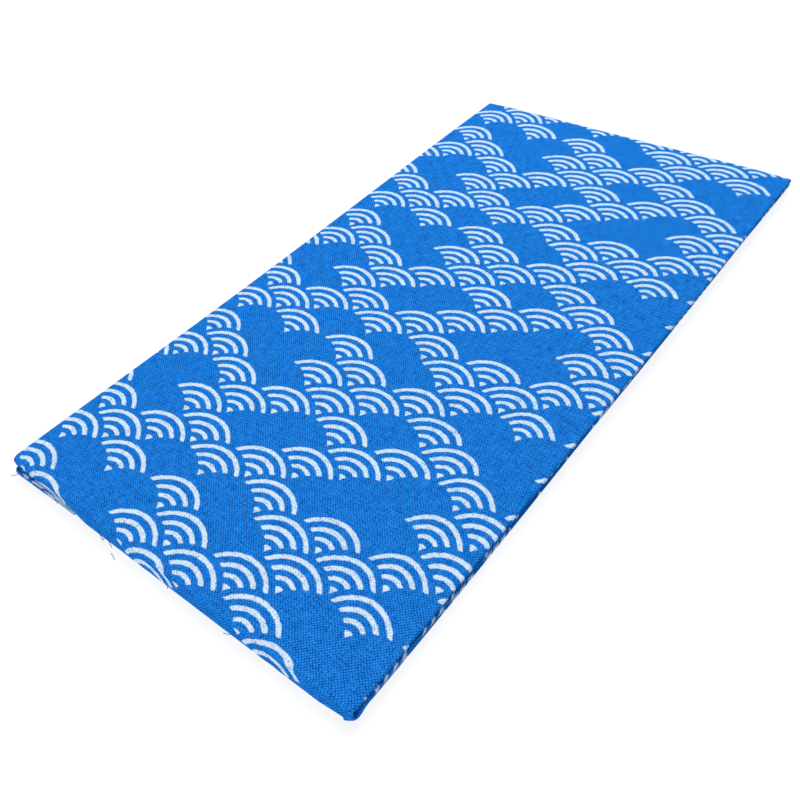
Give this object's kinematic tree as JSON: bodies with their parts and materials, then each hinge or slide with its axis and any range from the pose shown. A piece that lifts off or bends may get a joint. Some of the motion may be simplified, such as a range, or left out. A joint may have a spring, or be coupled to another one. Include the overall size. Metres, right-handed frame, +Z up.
{
  "type": "tenugui towel",
  "caption": "Thin printed cotton towel folded into a flat rectangular packet that lies level, rolled over at the front with its raw cut ends beneath.",
  "frame": {"origin": "on the surface that the packet lies on, under the middle of the packet", "axes": "+Y along the packet's long side towards the full-height fold at the back, +X along its short side, +Z up through the layers"},
  "size_m": [0.1134, 0.2144, 0.0052],
  "materials": {
    "printed_cotton": "matte plain weave, blue with a white wave-scale print"
  },
  "bodies": {
    "root": {"towel": "printed_cotton"}
  },
  "joints": []
}
